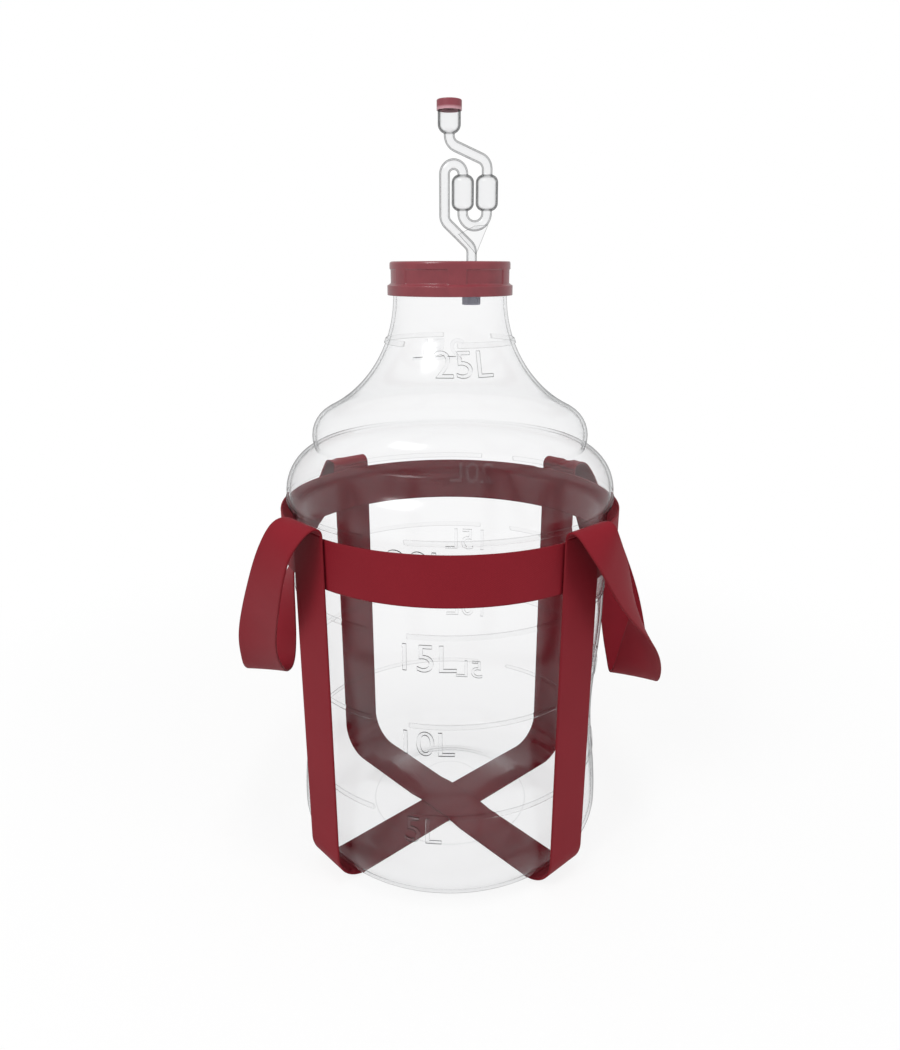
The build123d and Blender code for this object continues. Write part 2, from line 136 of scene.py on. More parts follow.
# Floor: a plain pale sheet. It is seen as nearly white, and keeps a faint shadow of the demijohn.
floor_mesh = bpy.data.meshes.new("floor")
reach = 4.0
sheet_corners = [(-reach, -reach, -0.0003), (reach, -reach, -0.0003), (reach, reach, -0.0003), (-reach, reach, -0.0003)]
floor_mesh.from_pydata(sheet_corners, [], [(0, 1, 2, 3)])
floor = bpy.data.objects.new("floor", floor_mesh)
bpy.context.collection.objects.link(floor)
floor_material, tree, shader = new_material("floor_paper", Base_Color=(0.85, 0.85, 0.85, 1), Roughness=0.9)
rays = [tree.add("LightPath", output=name) for name in ("Is Camera Ray", "Is Glossy Ray", "Is Transmission Ray")]
seen = rays[0].math("MAXIMUM", rays[1] * mirrored_share).math("MAXIMUM", rays[2])
scattered = tree.add("LightPath", output="Diffuse Depth").math("MINIMUM", 1)
away = tree.add("VectorMath", {"operation": "LENGTH"}, {0: tree.add("TexCoord", output="Object")}, "Value")
share = away.between(0.25, 0.9) * 0.15 + 0.85
glow = tree.add("Emission", None, {"Color": (1, 1, 1, 1), "Strength": 1.0})
lit_paper = Flow(tree.tree, shader.outputs[0])
paper = tree.add("MixShader", None, {0: seen * (1 - scattered) * share, 1: lit_paper, 2: glow})
tree.tree.links.new(paper.socket, tree.tree.nodes["Material Output"].inputs["Surface"])
floor_mesh.materials.append(floor_material)


# Bottle: blown in one piece from clear plastic, with a wall of 2.6 mm. Its base is pushed up, its body has a waist,
# and raised ribs mark each 5 litres.
def arc(centre, radius, start, end, count=24):
    """Points of a circle between two angles: centre + radius x (cosine, sine)."""
    angle = np.radians(np.linspace(start, end, count))
    return np.stack([centre[0] + radius * np.cos(angle), centre[1] + radius * np.sin(angle)], 1)


def smooth_curve(points, count, first=None, last=None):
    """Cubic curve through points, with a length along their chords as its parameter. The slopes at the points are
    the ones that give no jump in curvature, and the end slopes are given or leave the ends straight. Each piece is
    then the sum of its end points and end slopes, weighted by the four Hermite polynomials."""
    points = np.asarray(points, float)
    knots = np.concatenate([[0], np.cumsum(np.linalg.norm(np.diff(points[:, :3], axis=0), axis=1))])
    step = np.diff(knots)
    size = len(points)
    system, right = np.zeros((size, size)), np.zeros_like(points)
    inner = np.arange(1, size - 1)
    system[inner, inner - 1] = 1 / step[:-1]
    system[inner, inner + 1] = 1 / step[1:]
    system[inner, inner] = 2 / step[:-1] + 2 / step[1:]
    rise = np.diff(points, axis=0) / step[:, None] ** 2
    right[1:-1] = 3 * (rise[:-1] + rise[1:])
    for row, beside, given, chord in ((0, 1, first, rise[0] * step[0]), (-1, -2, last, rise[-1] * step[-1])):
        system[row, row], system[row, beside] = (1, 0) if given is not None else (2, 1)
        right[row] = given if given is not None else 3 * chord
    slopes = np.linalg.solve(system, right)
    where = np.linspace(0, knots[-1], count)
    piece = np.clip(np.searchsorted(knots, where, side="right") - 1, 0, size - 2)
    t = ((where - knots[piece]) / step[piece])[:, None]
    width = step[piece][:, None]
    return (
        points[piece] * (1 + 2 * t) * (1 - t) ** 2 + points[piece + 1] * t**2 * (3 - 2 * t)
        + slopes[piece] * width * t * (1 - t) ** 2 + slopes[piece + 1] * width * t**2 * (t - 1)
    )


def rounded_line(points, radii, steps=5):
    """Straight runs through points, with each corner rounded: it is cut back by its radius, but no more than 0.45 of
    a run, and the cut is joined by a quadratic curve towards the corner."""
    points = np.asarray(points, float)
    rows = [points[:1]]
    share = np.linspace(0, 1, steps)[:, None]
    for before, corner, after, radius in zip(points[:-2], points[1:-1], points[2:], radii):
        back, on = before - corner, after - corner
        cut = min(radius, 0.45 * np.linalg.norm(back), 0.45 * np.linalg.norm(on))
        start = corner + back / np.linalg.norm(back) * cut
        end = corner + on / np.linalg.norm(on) * cut
        rows.append(start * (1 - share) ** 2 + 2 * corner * share * (1 - share) + end * share**2)
    rows.append(points[-1:])
    return np.concatenate(rows)


def resampled(points, where):
    """Points of a polyline at given lengths along it."""
    length = np.concatenate([[0], np.cumsum(np.linalg.norm(np.diff(points, axis=0), axis=1))])
    return np.stack([np.interp(where, length, points[:, k]) for k in range(points.shape[1])], 1)


def run_length(points):
    return np.linalg.norm(np.diff(points, axis=0), axis=1).sum()


def grid_piece(name, points, material, uv=None, painted_outline_weights=None):
    """Object whose mesh is a grid of points in millimetres, rows by columns. The faces are turned outwards: the sum of
    corner0 . (corner1 x corner2) over their halves is six times the volume, so a negative sum means inside out.
    Points that meet, at a seam or a pole, are merged."""
    rows, columns = points.shape[:2]
    corner = np.arange(rows * columns, dtype=np.int32).reshape(rows, columns)
    faces = np.stack([corner[:-1, :-1], corner[1:, :-1], corner[1:, 1:], corner[:-1, 1:]], -1).reshape(-1, 4)
    flat = points.reshape(-1, 3) * 0.001
    a, b, c, d = (flat[faces[:, k]] for k in range(4))
    if np.einsum("ij,ij", a, np.cross(b, c)) + np.einsum("ij,ij", a, np.cross(c, d)) < 0:
        faces = np.ascontiguousarray(faces[:, ::-1])
    mesh = bpy.data.meshes.new(name)
    mesh.vertices.add(len(flat))
    mesh.vertices.foreach_set("co", flat.ravel())
    mesh.loops.add(faces.size)
    mesh.loops.foreach_set("vertex_index", faces.ravel())
    mesh.polygons.add(len(faces))
    mesh.polygons.foreach_set("loop_start", np.arange(0, faces.size, 4, dtype=np.int32))
    mesh.polygons.foreach_set("use_smooth", np.ones(len(faces), bool))
    if uv is not None:
        layer = mesh.uv_layers.new(name="along_webbing")
        layer.data.foreach_set("uv", uv.reshape(-1, 2)[faces.ravel()].ravel())
    # Painted shade: per-point weights that darken the clear plastic's colour along painted outlines.
    if painted_outline_weights is not None:
        mesh.attributes.new("painted_outline_shade", "FLOAT", "POINT").data.foreach_set("value", painted_outline_weights.ravel())
    mesh.update(calc_edges=True)
    merged = bmesh.new()
    merged.from_mesh(mesh)
    bmesh.ops.remove_doubles(merged, verts=merged.verts, dist=2e-6)
    merged.to_mesh(mesh)
    merged.free()
    mesh.materials.append(material)
    piece = bpy.data.objects.new(name, mesh)
    bpy.context.collection.objects.link(piece)
    return piece


def turned(profile, angle, centre_x=0.0):
    """Grid of a profile, given as radius and height, turned about an upright axis to each angle."""
    ring = np.stack([np.cos(angle), np.sin(angle)], 1)
    flat = profile[:, None, :1] * ring[None] + (centre_x, 0)
    height = np.broadcast_to(profile[:, None, 1:2], (len(profile), len(angle), 1))
    return np.concatenate([flat, height], 2)


def clear_plastic(name, bend, darkness, slanted, edge_shade, painted_outlines=False):
    """Clear moulded plastic, thin enough to bend light little. Its body takes away a little light for each metre, and
    it
    has a glossy skin. Painted shade: its colour darkens where seen at a slant and along painted outlines."""
    material, tree, shader = new_material(
        name, Roughness=0.0, IOR=bend, Transmission_Weight=1.0, Coat_Weight=0.42, Coat_Roughness=0.16, Coat_IOR=1.5
    )
    # Painted shade: the colour darkens towards the silhouette and along the painted outline weights, drawing grey
    # outlines.
    slant = tree.add("LayerWeight", None, {"Blend": 0.5}, "Facing").between(*slanted)
    if painted_outlines:
        slant = slant.math("MAXIMUM", tree.add("Attribute", {"attribute_name": "painted_outline_shade"}, None, "Fac") * 0.5)
    tint = slant.mix((0.99, 0.99, 0.992, 1), (edge_shade, edge_shade, edge_shade * 1.04, 1))
    tree.tree.links.new(tint.socket, shader.inputs["Base Color"])
    for_lamps = tree.add("LightPath", output="Is Shadow Ray")
    through = tree.add("BsdfTransparent", None, {"Color": (0.72, 0.72, 0.73, 1)})
    both = tree.add("MixShader", None, {0: for_lamps, 1: Flow(tree.tree, shader.outputs[0]), 2: through})
    body = tree.add("VolumeAbsorption", None, {"Color": (0.36, 0.38, 0.40, 1), "Density": darkness})
    ends = tree.tree.nodes["Material Output"].inputs
    tree.tree.links.new(both.socket, ends["Surface"])
    tree.tree.links.new(body.socket, ends["Volume"])
    return material


base_height = 1.8
wall = 2.6
rib_height = 1.2
rib_half_width = 2.3
levels = ((92.6, 256, 167), (180.9, 256, 167), (262.5, 256, 167), (341.3, 256, 167), (477.3, 275, 134))
corner_centre = (118.3, 30.8)
lower_bulge, lower_radius = (107.5, 348.0), 40.0
upper_bulge, upper_radius = (97.25, 396.5), 25.0
neck_sweep, sweep_radius = (155.4, 515.0), 107.0
punt = np.array([(0, 31.4), (26, 29.4), (30, 28.9), (36, 27.6), (46, 24.4), (58, 19.9), (70, 14.4), (76.5, 10.7),
                 (80, 9.1), (90, 4.6), (98, 0.9), (103, 0)]) + (0, base_height)
wall_points = [corner_centre + np.array([29.0, 0]), (139.6, 125.0), (144.2, 222.0), (143.4, 316.0)]
bulge_start = math.degrees(math.atan2(-math.sqrt(lower_radius**2 - 35.9**2), 35.9))
between = np.subtract(upper_bulge, lower_bulge)
apart = np.linalg.norm(between)
along = (lower_radius**2 - upper_radius**2 + apart**2) / (2 * apart)
across = math.sqrt(lower_radius**2 - along**2)
crease = lower_bulge + (between * along + np.array([between[1], -between[0]]) * across) / apart
towards_neck = math.degrees(math.atan2(neck_sweep[1] - upper_bulge[1], neck_sweep[0] - upper_bulge[0]))


def angle_of(centre, point):
    return math.degrees(math.atan2(point[1] - centre[1], point[0] - centre[0]))


bulges = np.concatenate([
    arc(lower_bulge, lower_radius, bulge_start, angle_of(lower_bulge, crease), 60),
    arc(upper_bulge, upper_radius, angle_of(upper_bulge, crease), towards_neck, 50)[1:],
    arc(neck_sweep, sweep_radius, towards_neck + 180, 180, 60)[1:],
])
outside = np.concatenate([
    smooth_curve(punt, 160)[:-1],
    [(110.0, base_height)],
    arc(corner_centre, 29.0, -90, 0, 30),
    smooth_curve(wall_points, 90, first=(0, 1), last=(0, 1))[1:],
    bulges,
    rounded_line([(48.4, 515.0), (48.4, 517.0), (46.6, 518.8), (46.6, 535.6)], [1.0, 1.0])[1:],
])
softened = resampled(outside, np.linspace(0, run_length(outside), 1600))
for _ in range(4):
    softened[1:-1] = 0.25 * softened[:-2] + 0.5 * softened[1:-1] + 0.25 * softened[2:]
length = np.concatenate([[0], np.cumsum(np.linalg.norm(np.diff(softened, axis=0), axis=1))])
travel = np.gradient(softened, axis=0)
travel /= np.linalg.norm(travel, axis=1)[:, None]
outward = np.stack([travel[:, 1], -travel[:, 0]], 1)
upright = length > length[np.argmax(softened[:, 0] > 147)]
rib_lengths = np.interp([row[0] for row in levels], softened[upright, 1], length[upright])
crease_length = np.interp(crease[1], softened[upright, 1], length[upright])
stations = [np.arange(0, length[-1], 4.2), [length[-1]], crease_length + np.linspace(-6, 6, 13)]
rib_side = 0.3
rib_rows = np.array([rib_half_width - rib_side, rib_half_width, rib_half_width + rib_side, rib_half_width + 0.9])
stations += [here + side * rib_rows for here in rib_lengths for side in (-1, 1)]
base_rings = np.array([28.0, 78.0])
stations += [here + np.array([-0.8, -0.4, 0, 0.4, 0.8]) for here in np.interp(base_rings, softened[:300, 0], length[:300])]
stations = np.unique(np.round(np.concatenate(stations), 3))
softened, outward = (
    np.stack([np.interp(stations, length, rows[:, k]) for k in (0, 1)], 1) for rows in (softened, outward)
)
inside = softened - wall * outward
inside[0, 0] = 0
inside = np.concatenate([inside[:-1:2], inside[-1:]])[::-1]
lip = arc((46.6 - wall / 2, 535.6), wall / 2, 0, 180, 9)[1:-1]
rib_ends = np.array([[start, start + span, start + 180, start + span + 180] for _, start, span in levels[-2:]])
at_ends = (-0.9, -0.6, -0.3, 0, 0.3, 0.6, 0.9)
angle = np.concatenate([np.arange(0, 360, 1.7), (rib_ends.ravel()[:, None] + at_ends).ravel() % 360])
angle = np.radians(np.append(np.unique(np.round(angle, 3)), 360.0))
raised = np.zeros((len(softened), len(angle)))
for (level, start, span), here in zip(levels, rib_lengths):
    middle = math.radians(start + span / 2)
    off_middle = np.abs((angle - middle + math.pi / 2) % math.pi - math.pi / 2)
    rib_radius = np.interp(here, stations, softened[:, 0])
    past_end = np.clip((off_middle - math.radians(span / 2)) * rib_radius + rib_half_width, 0, None)
    from_rib = np.hypot((stations - here)[:, None], past_end[None])
    raised += np.clip((rib_half_width + rib_side - from_rib) / (2 * rib_side), 0, 1)
direction = np.stack([np.cos(angle), np.sin(angle)], 1)
push = [outward[:, None, :1] * direction[None], np.broadcast_to(outward[:, None, 1:], (*raised.shape, 1))]
skin = turned(softened, angle) + np.concatenate(push, 2) * raised[..., None] * rib_height
shell = np.concatenate([skin, turned(lip, angle), turned(inside, angle)])
# Painted shade: dark outlines are painted along the ribs' sides, faintly over their tops, and as two thin rings in the
# base at radii of 28 and 78 mm.
painted_outline_weights = np.maximum(4 * raised * (1 - raised), 0.12 * raised)
off_ring = np.abs(softened[:, :1] - base_rings).min(1) + 99 * (softened[:, 1] > 40)
painted_outline_weights += 0.5 * np.exp(-((off_ring / 0.5) ** 2))[:, None]
painted_outline_weights = np.concatenate([painted_outline_weights, np.zeros((len(lip) + len(inside), len(angle)))])
bottle_plastic = clear_plastic("bottle_plastic", 1.004, 10.0, (0.80, 0.97), 0.02, True)
bottle = grid_piece("bottle", shell, bottle_plastic, painted_outline_weights=painted_outline_weights.astype(np.float32))
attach(bottle, "bottle_body")
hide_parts("bottle_foot", "bottle_wall", "bottle_shoulder", "bottle_neck")

# Level figures: the litres at each rib, raised from the wall by the mould, on the front and again on the back. Each
# is a thin clear block with straight edges, wrapped round the wall.
foot_row = np.flatnonzero(softened[:, 0] > 146)[0]
# Painted shade: the figures' plastic darkens over a wide range of slant, so their sides read as grey outlines.
figure_plastic = clear_plastic("figure_plastic", 1.004, 30.0, (0.45, 1.0), 0.6)
figure_height = 23.5
figure_depth = 1.0
figure_places = (
    ("25L", 280.7, 462.8), ("20L", 260.3, 322.5), ("15L", 263.5, 244.3), ("10L", 262.9, 164.0), ("5L", 260.9, 80.0),
)
for text, facing, middle in figure_places:
    lettering = bpy.data.curves.new("figure", "FONT")
    lettering.body = text
    lettering.align_x = "CENTER"
    lettering.size = 1
    lettering.extrude = 0.02
    lettering.resolution_u = 8
    holder = bpy.data.objects.new("figure", lettering)
    bpy.context.collection.objects.link(holder)
    raw = bpy.data.meshes.new_from_object(holder)
    bpy.data.objects.remove(holder)
    work = bmesh.new()
    work.from_mesh(raw)
    bmesh.ops.remove_doubles(work, verts=work.verts, dist=1e-4)
    bmesh.ops.triangulate(work, faces=work.faces)
    for _ in range(2):
        bmesh.ops.subdivide_edges(work, edges=[e for e in work.edges if e.calc_length() > 0.16], cuts=1)
        bmesh.ops.triangulate(work, faces=work.faces)
    bmesh.ops.recalc_face_normals(work, faces=work.faces)
    work.to_mesh(raw)
    work.free()
    shape = np.empty(len(raw.vertices) * 3)
    raw.vertices.foreach_get("co", shape)
    shape = shape.reshape(-1, 3)
    scale = figure_height / np.ptp(shape[:, 1])
    aside = (shape[:, 0] - (shape[:, 0].min() + shape[:, 0].max()) / 2) * scale
    up = (shape[:, 1] - shape[:, 1].min()) * scale - figure_height / 2
    lift = np.where(shape[:, 2] > 0, figure_depth, -0.05)
    here = np.interp(middle, softened[foot_row:, 1], stations[foot_row:]) + up
    foot, normal = (
        np.stack([np.interp(here, stations, rows[:, k]) for k in (0, 1)], 1) for rows in (softened, outward)
    )
    foot = foot + normal * (lift[:, None] + 0.1)
    for side, turn in (("front", 0), ("back", 180)):
        bearing = np.radians(facing + turn) + aside / foot[:, 0]
        placed = np.stack([foot[:, 0] * np.cos(bearing), foot[:, 0] * np.sin(bearing), foot[:, 1]], 1) * 0.001
        mesh = raw.copy()
        mesh.vertices.foreach_set("co", placed.ravel())
        mesh.materials.clear()
        mesh.materials.append(figure_plastic)
        mesh.update()
        figure = bpy.data.objects.new(f"figure_{text}_{side}", mesh)
        bpy.context.collection.objects.link(figure)
        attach(figure, "bottle_body")

# Belt: a loop of flat red webbing, 43 mm wide, round the bottle just under its shoulder. The straps are sewn over it.
web_width, web_thickness = 43.0, 1.8
belt_radius, belt_bottom = 151.8, 291.5


def webbing_material():
    """Woven band: fine ribs along it, crossed by picks of yarn, from sines of the width and the length in metres."""
    material, tree, shader = new_material("red_webbing", Roughness=0.6, Specular_IOR_Level=0.12)
    place = tree.add("UVMap")
    parts = [tree.add("SeparateXYZ", None, {0: place}, name) for name in ("X", "Y")]
    rib = (parts[0] * (2 * math.pi / 0.0016)).math("SINE")
    pick = (parts[1] * (2 * math.pi / 0.0022)).math("SINE")
    weave = rib * pick * 0.5 + 0.5
    place = tree.add("TexCoord", output="Object")
    cloud = tree.add("TexNoise", None, {"Vector": place, "Scale": 30.0, "Detail": 3.0})
    # Painted shade: the colour darkens in a thin band along both edges of the webbing.
    edge = parts[0].math("ABSOLUTE").between(0.0198, 0.0212)
    tone = (cloud * 0.25 + 0.38) * (weave * 0.16 + 0.92)
    colour = tone.mix((0.145, 0.006, 0.0117, 1), (0.245, 0.0124, 0.022, 1))
    colour = (edge * 0.45).mix(colour, (0.13, 0.008, 0.012, 1))
    tree.tree.links.new(colour.socket, shader.inputs["Base Color"])
    bump = tree.add("Bump", None, {"Strength": 0.25, "Distance": 0.0002, "Height": weave}, "Normal")
    tree.tree.links.new(bump.socket, shader.inputs["Normal"])
    return material


def webbing_band(name, centre, across, out, closed=False):
    """Flat band with half-round edges: its section is carried along the centre line, each point being centre +
    across x width + out x thickness. Open ends are closed by drawing the section in to its middle."""
    half = web_thickness / 2
    side = np.linspace(half - web_width / 2, web_width / 2 - half, 23)
    turn = np.radians(np.linspace(-90, 90, 7))[1:-1]
    edge = np.stack([web_width / 2 - half + half * np.cos(turn), half * np.sin(turn)], 1)
    lower = np.stack([side, np.full(len(side), -half)], 1)
    section = np.concatenate([lower, edge, lower * (-1, -1), edge * (-1, -1), lower[:1]])
    grid = centre[:, None] + across[:, None] * section[None, :, :1] + out[:, None] * section[None, :, 1:]
    along = np.concatenate([[0], np.cumsum(np.linalg.norm(np.diff(centre, axis=0), axis=1))])
    uv = np.stack(np.broadcast_arrays(section[None, :, 0], along[:, None]), 2) * 0.001
    if not closed:
        ends = [np.broadcast_to(centre[k], (1, len(section), 3)) for k in (0, -1)]
        grid = np.concatenate([ends[0], grid, ends[1]])
        uv = np.concatenate([uv[:1], uv, uv[-1:]])
    return grid_piece(name, grid, red_webbing, uv), along[-1] * 0.001


red_webbing = webbing_material()
angle = np.linspace(0, 2 * math.pi, 361)
out = np.stack([np.cos(angle), np.sin(angle), 0 * angle], 1)
ring = out * (belt_radius + web_thickness / 2) + (0, 0, belt_bottom + web_width / 2)
upwards = np.broadcast_to((0.0, 0.0, 1.0), ring.shape)
belt, belt_length = webbing_band("belt_webbing", ring, upwards, out, closed=True)
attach(belt, "bottle_body")
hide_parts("belt")

# Straps: two lengths of the same webbing. Each runs down the body from the belt, under the base and up again, and
# strap_b climbs over strap_a where they cross.
strap_top = 338.0
strap_radius = 154.55
corner_radius = 30.9


def rounded_route(points, radii, step=2.0):
    """Straight runs joined by tangent arcs. At each corner the runs stop short by radius x tangent of half the turn,
    and the arc's middle lies along the bisector, at radius / cosine of half the turn."""
    points = np.asarray(points, float)
    rows = [points[:1]]
    for before, corner, after, radius in zip(points[:-2], points[1:-1], points[2:], radii):
        back = (before - corner) / np.linalg.norm(before - corner)
        on = (after - corner) / np.linalg.norm(after - corner)
        half_turn = (math.pi - math.acos(np.clip(back @ on, -1, 1))) / 2
        bisector = (back + on) / np.linalg.norm(back + on)
        middle = corner + bisector * radius / math.cos(half_turn)
        sweep = np.linspace(-half_turn, half_turn, max(4, int(2 * half_turn * radius / step) + 2))[:, None]
        aside = (on - back) / np.linalg.norm(on - back)
        rows.append(middle - radius * bisector * np.cos(sweep) + radius * aside * np.sin(sweep))
    rows.append(points[-1:])
    rows = np.concatenate(rows)
    return resampled(rows, np.linspace(0, run_length(rows), int(run_length(rows) / step) + 2))


floor_gap = web_thickness / 2
cross_height = floor_gap + web_thickness + 0.05
for name, facing, over in (("strap_a", 42.3, False), ("strap_b", 132.7, True)):
    hump = [(37.0, floor_gap), (23.0, cross_height), (-23.0, cross_height), (-37.0, floor_gap)] if over else []
    side_view = rounded_route(
        [(strap_radius, strap_top), (strap_radius, floor_gap), *hump, (-strap_radius, floor_gap),
         (-strap_radius, strap_top)],
        [corner_radius] + [8.0] * len(hump) + [corner_radius],
    )
    bearing = math.radians(facing)
    forward = np.array([math.cos(bearing), math.sin(bearing), 0])
    centre = side_view[:, :1] * forward + side_view[:, 1:] * (0, 0, 1)
    travel = np.gradient(centre, axis=0)
    travel /= np.linalg.norm(travel, axis=1)[:, None]
    across = np.broadcast_to((-math.sin(bearing), math.cos(bearing), 0.0), centre.shape)
    strap, strap_length = webbing_band(f"{name}_webbing", centre, across, np.cross(across, travel))
    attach(strap, "bottle_body")
    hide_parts(name)

# Handles: the webbing goes on over the belt as two loops that hang at the sides, each with a half twist.
handle_rows = np.array([
    (18.8, 221.7, 0, -54, -12), (25.6, 219.8, 16, -53, -22), (27.9, 213.4, 55, -41, -32), (26.7, 204.3, 94, -30, -30),
    (26.5, 194.6, 137, -16, -20), (24.9, 189.3, 158, -9, -12), (23.9, 183.5, 174, -3, -4), (22.7, 177.4, 180, -4, 4),
    (23.9, 170.7, 170, -15, 11), (26.3, 164.4, 145, -34, 17), (28.6, 158.3, 115, -57, 23), (27.9, 152.7, 88, -78, 28),
    (25.4, 147.2, 66, -94, 32), (23.4, 142.0, 45, -107, 33), (21.5, 137.3, 23, -116, 29), (17.8, 133.8, 4, -125, 19),
])
fold_radius = 6.5


def fold(facing, width_turn):
    """Webbing that turns over the belt: rows of centre and width direction, from the strap's top to level."""
    bend = np.radians([0, 30, 60, 90])
    bearing, turn = math.radians(facing), math.radians(width_turn)
    reach = strap_radius + fold_radius * (1 - np.cos(bend))
    rise = strap_top + fold_radius * np.sin(bend)
    width = np.broadcast_to((math.cos(turn), math.sin(turn), 0.0), (4, 3))
    return np.concatenate([np.stack([reach * math.cos(bearing), reach * math.sin(bearing), rise], 1), width], 1)


reach = 155.45 + handle_rows[:, 0]
bearing, turn, tilt = np.radians(handle_rows[:, 1]), np.radians(handle_rows[:, 3]), np.radians(handle_rows[:, 4])
hanging = np.stack([
    reach * np.cos(bearing), reach * np.sin(bearing), strap_top - handle_rows[:, 2],
    np.cos(turn) * np.cos(tilt), np.sin(turn) * np.cos(tilt), np.sin(tilt),
], 1)
rows = np.concatenate([fold(42.3 + 180, 42.3 - 90), hanging, fold(132.7, 132.7 - 270)[::-1]])
rows = smooth_curve(rows, 300, first=(0, 0, 1, 0, 0, 0), last=(0, 0, -1, 0, 0, 0))
centre, across = rows[:, :3], rows[:, 3:]
travel = np.gradient(centre, axis=0)
travel /= np.linalg.norm(travel, axis=1)[:, None]
across = across - travel * (across * travel).sum(1)[:, None]
across /= np.linalg.norm(across, axis=1)[:, None]
out = np.cross(travel, across)
for name, side in (("handle_left", 1), ("handle_right", -1)):
    flip = np.array([side, side, 1.0])
    handle, handle_length = webbing_band(f"{name}_webbing", centre * flip, across * flip, out * flip)
    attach(handle, "bottle_body")
    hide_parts(name)

# Screw cap: moulded in dark red plastic, with a flange at its foot, sunk panels between six raised grips, and a
# recessed hole for the grommet.
cap_top, cap_bottom = 542.0, 514.8
cap_radius, flange_radius, bore_radius = 51.0, 53.2, 48.8
flange_top, underside = cap_bottom + 8.0, cap_top - 2.6
stem_x = 18.2
grip_count, grip_span, grip_first = 6, 16.0, 276.5
corners = [
    (stem_x, 6.5, underside - 2.4), (stem_x, 6.5, cap_top - 1.6), (stem_x, 9.1, cap_top - 1.6), (stem_x, 9.1, cap_top),
    (0, cap_radius, cap_top), (0, cap_radius, flange_top + 1.0), (0, flange_radius, flange_top),
    (0, flange_radius, cap_bottom), (0, bore_radius, cap_bottom), (0, bore_radius, underside),
    (stem_x, 10.6, underside), (stem_x, 10.6, underside - 2.4), (stem_x, 6.5, underside - 2.4),
]
profile = rounded_line(corners, [0.15, 0.15, 0.3, 2.2, 0.7, 0.6, 0.5, 0.4, 0.5, 0.4, 0.4], 6)
side_rows = (profile[:, 0] == 0) & (profile[:, 1] == cap_radius)
side_start = np.flatnonzero(side_rows)[0]
side = np.linspace(profile[side_start, 2], flange_top + 1.8, 40)[1:-1]
side = np.stack([0 * side, cap_radius + 0 * side, side], 1)
profile = np.concatenate([profile[:side_start + 1], side, profile[side_start + 1:]])
angle = np.linspace(0, 2 * math.pi, 541)
grip_pitch = 360 / grip_count
from_grip = np.abs((np.degrees(angle) - grip_first + grip_pitch / 2) % grip_pitch - grip_pitch / 2)
between_grips = np.clip((from_grip - grip_span / 2) / 0.9, 0, 1)
on_panel = np.clip(np.minimum(profile[:, 2] - flange_top - 1.2, flange_top + 13.2 - profile[:, 2]) / 0.7, 0, 1)
on_panel *= (profile[:, 0] == 0) & (profile[:, 1] > 50)
on_panel, between_grips = (mask**2 * (3 - 2 * mask) for mask in (on_panel, between_grips))
radius = profile[:, 1:2] - 0.8 * on_panel[:, None] * between_grips[None]
cap_grid = np.stack([
    profile[:, :1] + radius * np.cos(angle), radius * np.sin(angle), np.broadcast_to(profile[:, 2:], radius.shape)
], 2)
cap_plastic, tree, shader = new_material(
    "cap_plastic", Roughness=0.32, Coat_Weight=0.35, Coat_Roughness=0.12, Specular_IOR_Level=0.5
)
place = tree.add("TexCoord", output="Object")
cloud = tree.add("TexNoise", None, {"Vector": place, "Scale": 55.0, "Detail": 3.0})
colour = cloud.between(0.3, 0.7).mix((0.178, 0.0245, 0.034, 1), (0.213, 0.031, 0.0415, 1))
tree.tree.links.new(colour.socket, shader.inputs["Base Color"])
grain = tree.add("TexNoise", None, {"Vector": place, "Scale": 1400.0, "Detail": 1.0})
bump = tree.add("Bump", None, {"Strength": 0.12, "Distance": 0.0001, "Height": grain}, "Normal")
tree.tree.links.new(bump.socket, shader.inputs["Normal"])
cap = grid_piece("cap_moulding", cap_grid, cap_plastic)
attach(cap, "cap_body")
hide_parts("screw_cap")

# Gasket: a flat ring of pale foam, pinched between the neck's lip and the cap.
gasket_foam, tree, shader = new_material("gasket_foam", Roughness=0.8)
place = tree.add("TexCoord", output="Object")
cells = tree.add("TexVoronoi", None, {"Vector": place, "Scale": 900.0}, "Distance")
colour = cells.mix((0.72, 0.71, 0.69, 1), (0.82, 0.81, 0.80, 1))
tree.tree.links.new(colour.socket, shader.inputs["Base Color"])
bump = tree.add("Bump", None, {"Strength": 0.3, "Distance": 0.0002, "Height": cells}, "Normal")
tree.tree.links.new(bump.socket, shader.inputs["Normal"])
ring_corners = [(44, 537.7), (48.4, 537.7), (48.4, 539.1), (41.0, 539.1), (41.0, 537.7), (44, 537.7)]
ring = rounded_line(ring_corners, [0.3] * 4, 4)
gasket = grid_piece("gasket_ring", turned(ring, np.linspace(0, 2 * math.pi, 129)), gasket_foam)
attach(gasket, "gasket_body")
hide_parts("cap_gasket")

# Grommet: a grey rubber sleeve with a flange above the cap's plate and a thicker skirt below it. It grips the stem.
grommet_rubber, tree, shader = new_material("grommet_rubber", Roughness=0.6)
place = tree.add("TexCoord", output="Object")
cloud = tree.add("TexNoise", None, {"Vector": place, "Scale": 160.0, "Detail": 3.0})
colour = cloud.between(0.3, 0.7).mix((0.33, 0.335, 0.41, 1), (0.40, 0.405, 0.49, 1))
tree.tree.links.new(colour.socket, shader.inputs["Base Color"])
bump = tree.add("Bump", None, {"Strength": 0.15, "Distance": 0.0002, "Height": cloud}, "Normal")
tree.tree.links.new(bump.socket, shader.inputs["Normal"])
sleeve = rounded_line(
    [(4.35, 520), (4.35, 506.8), (7.8, 506.8), (7.8, 537.0), (6.4, 537.0), (6.4, 540.4), (9.0, 540.4), (9.0, 542.0),
     (4.35, 542.0), (4.35, 520)],
    [0.4, 0.7, 0.4, 0.3, 0.1, 0.4, 0.5, 0.4], 4,
)
grommet = grid_piece("grommet_sleeve", turned(sleeve, np.linspace(0, 2 * math.pi, 65), stem_x), grommet_rubber)
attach(grommet, "cap_body")
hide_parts("airlock_grommet")

